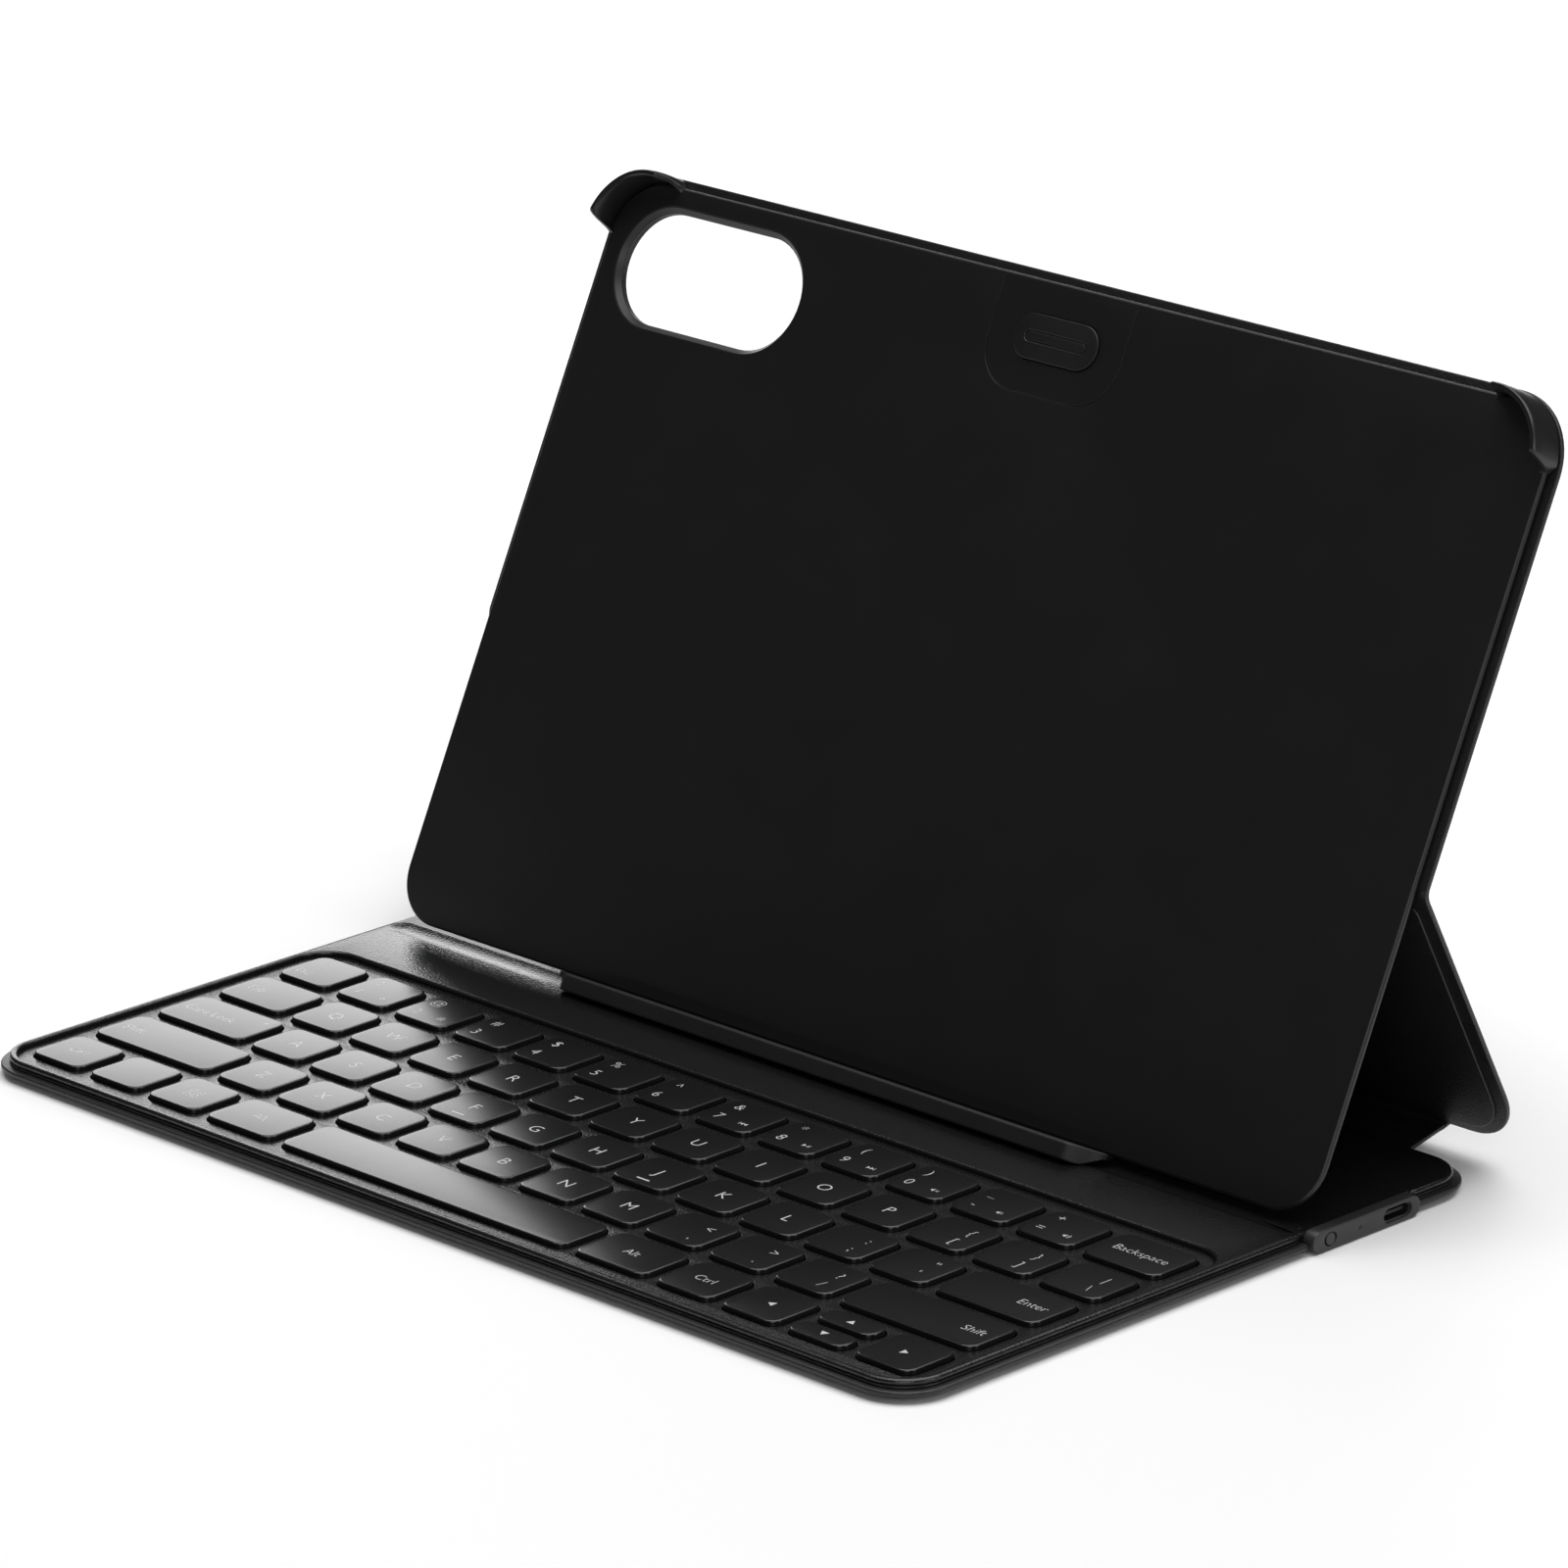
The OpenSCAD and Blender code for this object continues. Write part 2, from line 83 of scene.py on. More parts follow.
# ---------------------------------------------------------------- places
LEAN = 64.5
FLAP_SLOPE = 62.0
TRAY_H = 179.0
TRAY_W = 280.8
TRAY_T = 1.3
TRAY_R_LOW = 12.0
TRAY_R_TOP = 14.0
TRAY_ORIGIN = Vector((0, 34.4, 6.6))
SKIN_T = 1.2
TRAY_BACK = TRAY_T + 0.6
LEATHER_MID = TRAY_BACK + SKIN_T / 2
COVER_TOP = TRAY_H + 2.0
COVER_R = TRAY_R_TOP + 2.0
BASE_LOW, BASE_HIGH = node_box("base_skin")
BASE_W = BASE_HIGH[0] - BASE_LOW[0]
BASE_D = BASE_HIGH[1] - BASE_LOW[1]
BASE_R = 12.5
BRIM_Z = 1.3
BRIM_TOP = BASE_HIGH[2]
DECK_HIGH = node_box("deck_skin")[1]
DECK_Z = DECK_HIGH[2]
WELL_HALF_W = 138.8
WELL_FRONT = -85.85
WELL_REAR = 12.35
WELL_R = 8.5
WELL_FLOOR_Z = 3.3
GROOVE_Y = 33.65
GROOVE_W = 5.2
GROOVE_HALF_L = 138.6
GROOVE_FLOOR_Z = 3.9
KEY_R = 2.8
KEY_GAP_GROW = 0.4
CAMERA_POS = (-106.0, 159.8)
CAMERA_STRAIGHT = 29.3
CAMERA_R = 13.3
CAMERA_SLOPE = 1.2
INSERT_HALF_W = 19.8
INSERT_LOW = 153.2
INSERT_R = 11.0
INSERT_GAP = 0.12
FLAP_LINING_IN = 3.5
PAD_POS = (0.0, 166.0)
PAD_STRAIGHT = 14.4
PAD_R = 5.2
CLIP_H = 7.5
CLIP_OUT = 1.7
CLIP_FOOT_X = 122.0
CLIP_FOOT_UP = 164.8
A_FOLD = joint_at("base_fold")
B_FOLD = joint_at("flap_fold")
C_FOLD = joint_at("cover_fold")
LIP_HALF_L = 84.0
LIP_DEPTH = 6.7
LIP_RUN = 8.0
LIP_END = 0.8
FOLD_R = 2.0
VIEW_LENS = 208.4
VIEW_SENSOR = 36.0
VIEW_PLACE = Vector((1.31011, -1.31055, 0.69452))
VIEW_AZIMUTH = math.radians(44.55)
VIEW_ELEVATION = math.radians(18.377)
FLOOR_HALF = 30.0
FLOOR_DROP = 0.0002
WORLD_STRENGTH = 0.04
TRAY_TURN = Matrix.Translation(TRAY_ORIGIN) @ Matrix.Rotation(math.radians(LEAN), 4, "X")


# ---------------------------------------------------------------- outlines
def arc(cx, cy, r, start, end, steps=10):
    """Points on an arc, angles in degrees."""
    points = []
    for i in range(steps + 1):
        a = math.radians(start + (end - start) * i / steps)
        points.append((cx + r * math.cos(a), cy + r * math.sin(a)))
    return points


def round_rect(w, d, r, at=(0, 0), steps=10):
    x, y = w / 2 - r, d / 2 - r
    loop = []
    for i, (sx, sy) in enumerate(((1, 1), (-1, 1), (-1, -1), (1, -1))):
        loop += arc(at[0] + sx * x, at[1] + sy * y, r, 90 * i, 90 * i + 90, steps)
    return loop


def stadium(straight, r, at=(0, 0), steps=20):
    loop = arc(at[0] + straight / 2, at[1], r, -90, 90, steps)
    return loop + arc(at[0] - straight / 2, at[1], r, 90, 270, steps)


def tray_outline(grow=0.0, steps=14):
    half = TRAY_W / 2 + grow
    low, top = TRAY_R_LOW + grow, TRAY_R_TOP + grow
    loop = arc(half - top, TRAY_H + grow - top, top, 0, 90, steps)
    loop += arc(-half + top, TRAY_H + grow - top, top, 90, 180, steps)
    loop += arc(-half + low, -grow + low, low, 180, 270, steps)
    loop += arc(half - low, -grow + low, low, 270, 360, steps)
    return loop


def insert_outline(top):
    half, r = INSERT_HALF_W, INSERT_R
    loop = [(half, top), (-half, top)]
    loop += arc(-half + r, INSERT_LOW + r, r, 180, 270)
    loop += arc(half - r, INSERT_LOW + r, r, 270, 360)
    return loop


def camera_outline(grow=0.0):
    return stadium(CAMERA_STRAIGHT, CAMERA_R + grow, CAMERA_POS, 28)


# ---------------------------------------------------------------- mesh makers
def bridge(bm, rings, ends=False):
    """Faces between closed rings of equal length, and over both ends if asked."""
    for one, two in zip(rings, rings[1:]):
        for i in range(len(one)):
            j = (i + 1) % len(one)
            bm.faces.new((one[i], one[j], two[j], two[i]))
    if ends:
        bm.faces.new(rings[0])
        bm.faces.new(list(reversed(rings[-1])))
    bmesh.ops.recalc_face_normals(bm, faces=bm.faces)


def keep(name, mesh, smooth_angle=30):
    piece = bpy.data.objects.new(name, mesh)
    scene.collection.objects.link(piece)
    if smooth_angle:
        mesh.shade_smooth()
        mesh.set_sharp_from_angle(angle=math.radians(smooth_angle))
    return piece


def plate_mesh(loops, z0, z1, bevel, bevel_steps=3):
    """A flat plate between z0 and z1 with rounded rims. The first loop is the outline, the rest are holes."""
    curve = bpy.data.curves.new("plate", "CURVE")
    curve.dimensions = "2D"
    curve.fill_mode = "BOTH"
    curve.extrude = (z1 - z0) / 2 - bevel
    curve.bevel_depth = bevel
    curve.bevel_resolution = bevel_steps
    curve.offset = -bevel
    for loop in loops:
        spline = curve.splines.new("POLY")
        spline.points.add(len(loop) - 1)
        for point, (x, y) in zip(spline.points, loop):
            point.co = (x, y, 0, 1)
        spline.use_cyclic_u = True
    holder = bpy.data.objects.new("plate", curve)
    scene.collection.objects.link(holder)
    bpy.context.view_layer.update()
    mesh = bpy.data.meshes.new_from_object(holder.evaluated_get(bpy.context.evaluated_depsgraph_get()))
    bpy.data.objects.remove(holder)
    bpy.data.curves.remove(curve)
    bm = bmesh.new()
    bm.from_mesh(mesh)
    bmesh.ops.remove_doubles(bm, verts=bm.verts, dist=0.002)
    bmesh.ops.translate(bm, verts=bm.verts, vec=(0, 0, (z0 + z1) / 2))
    bmesh.ops.recalc_face_normals(bm, faces=bm.faces)
    bm.to_mesh(mesh)
    bm.free()
    return mesh


def plate(name, loops, z0, z1, bevel, material, turn=None, steps=3):
    """A plate as a piece in metres, turned into place."""
    mesh = plate_mesh(loops, z0, z1, bevel, steps)
    mesh.transform(Matrix.Scale(MM, 4) @ (turn or Matrix.Identity(4)))
    mesh.materials.clear()
    mesh.materials.append(material)
    return keep(name, mesh)


def along_x(x0):
    """Turns a plate drawn as (Y, Z) so that it stands along +X from x0."""
    return Matrix.Translation((x0, 0, 0)) @ Matrix(((0, 0, 1, 0), (1, 0, 0, 0), (0, 1, 0, 0), (0, 0, 0, 1)))


def join(name, pieces):
    """One piece made of several, each already in place."""
    bpy.ops.object.select_all(action="DESELECT")
    for piece in pieces:
        piece.select_set(True)
    bpy.context.view_layer.objects.active = pieces[0]
    bpy.ops.object.join()
    pieces[0].name = name
    pieces[0].data.name = name
    return pieces[0]


def finish_piece(piece, body, slot, *nodes):
    if nodes:
        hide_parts(*nodes)
    if body:
        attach(piece, body)
    return piece


# ---------------------------------------------------------------- materials
class Nodes:
    """A small helper round one material's nodes."""

    def __init__(self, name, color, roughness, **sockets):
        self.material = bpy.data.materials.new(name)
        self.material.use_nodes = True
        self.tree = self.material.node_tree
        self.shader = self.tree.nodes["Principled BSDF"]
        self.shader.inputs["Base Color"].default_value = (*color, 1)
        self.shader.inputs["Roughness"].default_value = roughness
        for socket, value in sockets.items():
            self.shader.inputs[socket.replace("_", " ")].default_value = value
        self.place = self.add("ShaderNodeTexCoord").outputs["Object"]

    def add(self, kind, **settings):
        node = self.tree.nodes.new(kind)
        for key, value in settings.items():
            if key in node.inputs:
                node.inputs[key].default_value = value
            else:
                setattr(node, key, value)
        return node

    def link(self, out, into):
        self.tree.links.new(out, into)

    def noise(self, scale, detail=4.0, rough=0.55):
        node = self.add("ShaderNodeTexNoise", Scale=scale, Detail=detail, Roughness=rough)
        self.link(self.place, node.inputs["Vector"])
        return node.outputs["Fac"]

    def cells(self, scale):
        """Grain: raised pebbles with creases between them."""
        node = self.add("ShaderNodeTexVoronoi", Scale=scale, feature="DISTANCE_TO_EDGE")
        self.link(self.place, node.inputs["Vector"])
        return node.outputs["Distance"]

    def remap(self, value, low, high, to_low, to_high):
        node = self.add("ShaderNodeMapRange")
        self.link(value, node.inputs["Value"])
        for key, number in (("From Min", low), ("From Max", high), ("To Min", to_low), ("To Max", to_high)):
            node.inputs[key].default_value = number
        return node.outputs["Result"]

    def mix_color(self, fac, one, two):
        node = self.add("ShaderNodeMix", data_type="RGBA")
        self.link(fac, node.inputs[0])
        node.inputs[6].default_value = (*one, 1)
        node.inputs[7].default_value = (*two, 1)
        return node.outputs[2]

    def bump(self, height, strength, distance, before=None):
        node = self.add("ShaderNodeBump", Strength=strength, Distance=distance)
        self.link(height, node.inputs["Height"])
        if before:
            self.link(before, node.inputs["Normal"])
        return node.outputs["Normal"]

    def set_normal(self, normal):
        self.link(normal, self.shader.inputs["Normal"])

    def set_color(self, color):
        self.link(color, self.shader.inputs["Base Color"])

    def set_roughness(self, value):
        self.link(value, self.shader.inputs["Roughness"])


def leather(name, color, lighter, roughness, grain, depth):
    m = Nodes(name, color, roughness, Specular_IOR_Level=0.5)
    pebbles = m.remap(m.cells(grain), 0.0, 0.3, 0.0, 1.0)
    pores = m.noise(grain * 2.2, 3.0)
    m.set_color(m.mix_color(pebbles, color, lighter))
    m.set_roughness(m.remap(pores, 0.3, 0.7, roughness - 0.05, roughness + 0.05))
    first = m.bump(pebbles, 0.5, depth)
    m.set_normal(m.bump(pores, 0.3, depth * 0.5, first))
    return m.material


def near_black(level):
    """A dark grey with a trace of blue."""
    return level, level, level + 0.0005


def plastic(name, color, lighter, roughness, grain=2600.0, depth=0.00001, spread=0.03, **sockets):
    m = Nodes(name, color, roughness, **sockets)
    fine = m.noise(grain, 2.0)
    broad = m.noise(55.0, 3.0)
    m.set_color(m.mix_color(m.remap(broad, 0.35, 0.7, 0.0, 1.0), color, lighter))
    m.set_roughness(m.remap(broad, 0.3, 0.7, roughness - spread, roughness + spread))
    m.set_normal(m.bump(fine, 0.4, depth))
    return m.material


def metal(name, color, roughness):
    m = Nodes(name, color, roughness, Metallic=1.0)
    streaks = m.noise(900.0, 3.0)
    m.set_roughness(m.remap(streaks, 0.3, 0.7, roughness - 0.05, roughness + 0.08))
    m.set_normal(m.bump(streaks, 0.2, 0.00001))
    return m.material


MATERIALS = {
    "cover_leather": leather("cover leather", near_black(0.006), near_black(0.008), 0.42, 1000, 0.00006),
    "deck_leather": leather("deck leather", near_black(0.006), near_black(0.009), 0.22, 1100, 0.00005),
    "well_leather": leather("well leather", near_black(0.006), near_black(0.008), 0.26, 1100, 0.00005),
    "key_plastic": plastic("key plastic", near_black(0.006), near_black(0.007), 0.22, 5200, 0.000004, 0.01),
    "tray_plastic": plastic("tray plastic", near_black(0.0045), near_black(0.005), 0.40, 3000, 0.000006,
                            0.01),
    "lip_plastic": plastic("lip plastic", near_black(0.004), near_black(0.005), 0.56),
    "clip_plastic": plastic("clip plastic", (0.008, 0.008, 0.009), (0.010, 0.010, 0.011), 0.32),
    "bar_plastic": plastic("bar plastic", (0.020, 0.020, 0.021), (0.026, 0.026, 0.027), 0.42),
    "pad_rubber": plastic("pad rubber", near_black(0.0045), near_black(0.006), 0.42),
    "tongue_plastic": plastic("tongue plastic", (0.004, 0.004, 0.004), (0.006, 0.006, 0.006), 0.45),
    "inner_plastic": plastic("inner plastic", near_black(0.008), near_black(0.012), 0.5),
    "window": plastic("window", (0.004, 0.004, 0.004), (0.006, 0.006, 0.006), 0.15),
    "film": plastic("film", (0.20, 0.24, 0.20), (0.26, 0.30, 0.26), 0.35),
    "silicone": plastic("silicone", (0.55, 0.55, 0.52), (0.62, 0.62, 0.60), 0.45),
    "link_plastic": plastic("link plastic", (0.60, 0.60, 0.60), (0.68, 0.68, 0.68), 0.4),
    "board": plastic("board", (0.010, 0.085, 0.035), (0.016, 0.11, 0.045), 0.3),
    "foil": metal("foil", (0.45, 0.46, 0.48), 0.38),
    "magnet": metal("magnet", (0.60, 0.60, 0.62), 0.2),
    "steel": metal("steel", (0.22, 0.22, 0.23), 0.34),
    "copper": metal("copper", (0.72, 0.36, 0.18), 0.3),
}
LEGEND = plastic("legend ink", (0.50, 0.50, 0.50), (0.56, 0.56, 0.56), 0.5)
LEGEND.name = "legend ink"


def paint_frame():
    """Every CAD node that stays gets its slot's material."""
    for part in frame["record"]["subparts"]:
        mesh = frame["nodes"][part["node"]].data
        mesh.materials.clear()
        mesh.materials.append(MATERIALS[part["material_slot"]])
        mesh.shade_smooth()
        mesh.set_sharp_from_angle(angle=math.radians(30))


# ---------------------------------------------------------------- keyboard base
def key_loops():
    """Each keycap's outline, read from the frame: {node: [(centre x, centre y, w, d)]}."""
    caps = {}
    for part in frame["record"]["subparts"]:
        node = part["node"]
        if not node.startswith("key_") and not node.startswith("keys_"):
            continue
        if node == "key_frame":
            continue
        bm = bmesh.new()
        bm.from_mesh(frame["nodes"][node].data)
        bmesh.ops.remove_doubles(bm, verts=bm.verts, dist=1e-6)
        todo = set(bm.verts)
        found = []
        while todo:
            start = todo.pop()
            island, edge = [start], [start]
            while edge:
                vert = edge.pop()
                for link in vert.link_edges:
                    other = link.other_vert(vert)
                    if other in todo:
                        todo.remove(other)
                        island.append(other)
                        edge.append(other)
            xs = [v.co.x / MM for v in island]
            ys = [v.co.y / MM for v in island]
            found.append(((min(xs) + max(xs)) / 2, (min(ys) + max(ys)) / 2,
                          max(xs) - min(xs), max(ys) - min(ys)))
        bm.free()
        caps[node] = sorted(found, key=lambda cap: -cap[1])
    return caps


CAPS = key_loops()
KEY_LOW, KEY_HIGH = node_box("key_space")
KEY_TOP = KEY_HIGH[2]
KEY_BOTTOM = KEY_LOW[2]


def make_base():
    pan = plate("pan", [round_rect(BASE_W - 10, BASE_D - 10, BASE_R - 4)], 0, BRIM_Z + 0.1, 0.35,
                MATERIALS["cover_leather"])
    brim = base_brim()
    finish_piece(join("base_leather", [pan, brim]), "base", "cover_leather", "base_skin")


def base_brim():
    """The thin outer sheet of the base: a ring round the pan, cut away behind the port bar."""
    half, d = BASE_W / 2, BASE_D / 2
    bar_low, bar_high = node_box("port_bar")
    notch = bar_high[0] - 3.1
    loop = arc(half - BASE_R, d - BASE_R, BASE_R, 0, 90)
    loop += arc(-half + BASE_R, d - BASE_R, BASE_R, 90, 180)
    loop += arc(-half + BASE_R, -d + BASE_R, BASE_R, 180, 270)
    loop += arc(half - BASE_R, -d + BASE_R, BASE_R, 270, 360)
    front, rear, turn = bar_low[1] - 0.2, bar_high[1] + 0.2, 1.0
    loop += arc(half - turn, front - turn, turn, 0, 90, 6) + [(notch, front), (notch, rear)]
    loop += arc(half - turn, rear + turn, turn, 270, 360, 6)
    inside = round_rect(BASE_W - 12, BASE_D - 12, BASE_R - 5)
    return plate("brim", [loop, inside], BRIM_Z, BRIM_TOP, 0.4, MATERIALS["cover_leather"])


def deck_outline():
    """The deck's outline, notched where the port bar stands in its side."""
    half_w, half_d = DECK_HIGH[0], DECK_HIGH[1]
    r = BASE_R - 1.9
    bar_low, bar_high = node_box("port_bar")
    notch = bar_high[0] - 3.1
    loop = arc(half_w - r, half_d - r, r, 0, 90, 14) + arc(-half_w + r, half_d - r, r, 90, 180, 14)
    loop += arc(-half_w + r, -half_d + r, r, 180, 270, 14) + arc(half_w - r, -half_d + r, r, 270, 360, 14)
    front, rear, turn = bar_low[1] - 0.5, bar_high[1] + 0.5, 1.3
    loop += arc(half_w - turn, front - turn, turn, 0, 90, 6) + [(notch, front), (notch, rear)]
    loop += arc(half_w - turn, rear + turn, turn, 270, 360, 6)
    return loop


def lofted_stadium(name, rows, half_straight, at, material):
    """A stadium-shaped channel: rows of (half width, z) from the rim down to the middle of its floor."""
    bm = bmesh.new()
    rings = []
    for half, z in rows:
        loop = stadium(2 * half_straight, half, at, 14)
        rings.append([bm.verts.new((x * MM, y * MM, z * MM)) for x, y in loop])
    bm.faces.new(rings[-1])
    bridge(bm, rings)
    mesh = bpy.data.meshes.new(name)
    bm.to_mesh(mesh)
    bm.free()
    mesh.materials.append(material)
    return keep(name, mesh, 60)


def make_deck():
    """The deck: a rounded leather rim round the well, with the groove behind it."""
    well_y = (WELL_REAR + WELL_FRONT) / 2
    well = round_rect(2 * WELL_HALF_W, WELL_REAR - WELL_FRONT, WELL_R, (0, well_y))
    reach, rim = GROOVE_W / 2 + 0.6, 0.3
    groove = stadium(2 * GROOVE_HALF_L - GROOVE_W, reach, (0, GROOVE_Y), 14)
    material = MATERIALS["deck_leather"]
    top = plate("deck_top", [deck_outline(), well, groove], DECK_Z - 1.6, DECK_Z, 0.75, material, steps=5)
    foot = plate("deck_foot", [deck_outline(), well], BRIM_TOP - 0.02, BRIM_TOP + 0.55, 0.12, material)
    rows = [(reach + 0.85, DECK_Z - 0.45), (reach + 0.75, DECK_Z - 0.02), (reach + 0.55, DECK_Z),
            (reach + rim - 0.1, DECK_Z - 0.03)]
    for i in range(1, 15):
        across = reach * (1 - i / 15)
        rows.append((across, DECK_Z - 0.06 - (DECK_Z - GROOVE_FLOOR_Z - 0.06) * (1 - (across / reach) ** 2)))
    floor = lofted_stadium("groove_floor", rows, GROOVE_HALF_L - GROOVE_W / 2, (0, GROOVE_Y), material)
    finish_piece(join("deck_leather", [top, foot, floor]), "base", "deck_leather", "deck_skin")


def make_key_floor():
    well_y = (WELL_REAR + WELL_FRONT) / 2
    holes = [round_rect(w + 2 * KEY_GAP_GROW, d + 2 * KEY_GAP_GROW, KEY_R + KEY_GAP_GROW, (x, y), 6)
             for caps in CAPS.values() for x, y, w, d in caps]
    outline = round_rect(2 * WELL_HALF_W + 1, WELL_REAR - WELL_FRONT + 1, WELL_R, (0, well_y))
    floor = plate("well_floor", [outline] + holes, WELL_FLOOR_Z - 0.6, WELL_FLOOR_Z, 0.15,
                  MATERIALS["well_leather"])
    finish_piece(floor, "base", "well_leather", "key_frame")


def keycap(cap):
    """One cap: a skirt with a crowned edge, drawn as stacked rounded rectangles."""
    x, y, w, d = cap
    rows = [(KEY_BOTTOM, 0.0), (KEY_TOP - 0.42, 0.0), (KEY_TOP - 0.22, 0.05), (KEY_TOP - 0.08, 0.17),
            (KEY_TOP - 0.02, 0.33), (KEY_TOP, 0.55)]
    rings = []
    bm = bmesh.new()
    for z, inset in rows:
        loop = round_rect(w - 2 * inset, d - 2 * inset, KEY_R - inset * 0.6, (x, y), 7)
        rings.append([bm.verts.new((px * MM, py * MM, z * MM)) for px, py in loop])
    bridge(bm, rings, ends=True)
    bmesh.ops.remove_doubles(bm, verts=bm.verts, dist=1e-7)
    mesh = bpy.data.meshes.new("cap")
    bm.to_mesh(mesh)
    bm.free()
    mesh.materials.append(MATERIALS["key_plastic"])
    return keep("cap", mesh, 50)


def mark(*loops):
    """A printed mark on a key, from outlines and the outlines of its holes."""
    return plate("mark", list(loops), KEY_TOP - 0.01, KEY_TOP + 0.01, 0.004, LEGEND, steps=1)


def letters(text, x, y, size, align="CENTER"):
    """A legend: letters of that cap height, centred or aligned at x, with their middle at y."""
    curve = bpy.data.curves.new("legend", "FONT")
    curve.body = text
    curve.size = size / 0.73 * MM
    curve.align_x = align
    curve.align_y = "CENTER"
    curve.extrude = 0.006 * MM
    curve.offset = -0.05 * MM
    curve.resolution_u = 3
    holder = bpy.data.objects.new("legend", curve)
    holder.location = (x * MM, y * MM, (KEY_TOP + 0.004) * MM)
    scene.collection.objects.link(holder)
    bpy.context.view_layer.update()
    mesh = bpy.data.meshes.new_from_object(holder.evaluated_get(bpy.context.evaluated_depsgraph_get()))
    mesh.transform(holder.matrix_world)
    bpy.data.objects.remove(holder)
    mesh.materials.clear()
    mesh.materials.append(LEGEND)
    piece = bpy.data.objects.new("legend", mesh)
    scene.collection.objects.link(piece)
    return piece


def turned(loop, x, y, turn):
    """A loop turned by so many degrees and moved to (x, y)."""
    c, s = math.cos(math.radians(turn)), math.sin(math.radians(turn))
    return [(x + px * c - py * s, y + px * s + py * c) for px, py in loop]


def arrowhead(x, y, w, h, turn):
    """A small solid arrowhead: turn 0 points right."""
    return turned([(w / 2, 0), (-w / 2, h / 2), (-w / 2, -h / 2)], x, y, turn)


def spoke(x, y, start, end, turn, half=0.08):
    return turned([(start, -half), (end, -half), (end, half), (start, half)], x, y, turn)


def circle(x, y, r, steps=18):
    return arc(x, y, r, 0, 360 - 360 / steps, steps - 1)


def wave(x, y, r):
    """A band of sound in front of a speaker."""
    return arc(x, y, r, -45, 45, 8) + arc(x, y, r - 0.18, 45, -45, 8)


def function_icon(kind, x, y):
    """A generic function mark, about 2 mm across."""
    if kind in ("dimmer", "brighter"):
        reach = 0.9 if kind == "dimmer" else 1.2
        rays = [spoke(x, y, 0.66, reach, 45 * i) for i in range(8)]
        return mark(circle(x, y, 0.5), circle(x, y, 0.32), *rays)
    if kind == "previous":
        return mark(arrowhead(x - 0.55, y, 0.9, 1.2, 180), arrowhead(x + 0.5, y, 0.9, 1.2, 180),
                    spoke(x - 1.2, y - 0.6, 0, 1.2, 90))
    if kind == "play":
        return mark(arrowhead(x - 0.6, y, 1.0, 1.3, 0), spoke(x + 0.35, y - 0.6, 0, 1.2, 90),
                    spoke(x + 0.85, y - 0.6, 0, 1.2, 90))
    if kind == "next":
        return mark(arrowhead(x - 0.5, y, 0.9, 1.2, 0), arrowhead(x + 0.55, y, 0.9, 1.2, 0),
                    spoke(x + 1.2, y - 0.6, 0, 1.2, 90))
    speaker = [(-1.1, -0.3), (-0.75, -0.3), (-0.25, -0.75), (-0.25, 0.75), (-0.75, 0.3), (-1.1, 0.3)]
    loops = [turned(speaker, x, y, 0)]
    if kind == "mute":
        loops += [spoke(x + 0.6, y, 0.1, 0.55, 45 + 90 * i) for i in range(4)]
    if kind in ("quieter", "louder"):
        loops.append(wave(x - 0.35, y, 0.85))
    if kind == "louder":
        loops.append(wave(x - 0.35, y, 1.3))
    return mark(*loops)


NUMBERS = ["1!", "2@", "3#", "4$", "5%", "6^", "7&", "8*", "9(", "0)", "-_", "=+"]
ICONS = {0: "dimmer", 1: "brighter", 6: "previous", 7: "play", 8: "next", 9: "mute", 10: "quieter",
         11: "louder"}
LETTER_ROWS = ["QWERTYUIOP", "ASDFGHJKL", "ZXCVBNM"]


def number_legends(cap, pair):
    x, y, w, d = cap
    return [letters(pair[0], x - w / 2 + 3.9, y - d / 2 + 4.4, 3.1),
            letters(pair[1], x - w / 2 + 3.9, y + d / 2 - 4.0, 3.0)]


def pair_legends(cap, upper, lower):
    x, y, w, d = cap
    return [letters(upper, x + 2.9, y + 2.2, 3.0), letters(lower, x + 2.9, y - 3.4, 3.0)]


def column_legends(col, caps):
    marks = number_legends(caps[0], NUMBERS[col])
    if col in ICONS:
        x, y, w, d = caps[0]
        marks.append(function_icon(ICONS[col], x + w / 2 - 4.2, y - d / 2 + 4.4))
    for row, names in enumerate(LETTER_ROWS, start=1):
        if row >= len(caps):
            continue
        x, y, w, d = caps[row]
        if col < len(names):
            marks.append(letters(names[col], x, y, 3.5))
            if names[col] in "FJ":
                marks.append(mark(round_rect(3.8, 0.5, 0.2, (x, y - d / 2 + 2.6), 4)))
            continue
        extra = {(1, 10): "{[", (1, 11): "}]", (2, 9): ":;", (2, 10): "\"'", (3, 7): "<,", (3, 8): ">.",
                 (3, 9): "?/"}[(row, col)]
        marks += pair_legends(caps[row], extra[0], extra[1])
    return marks


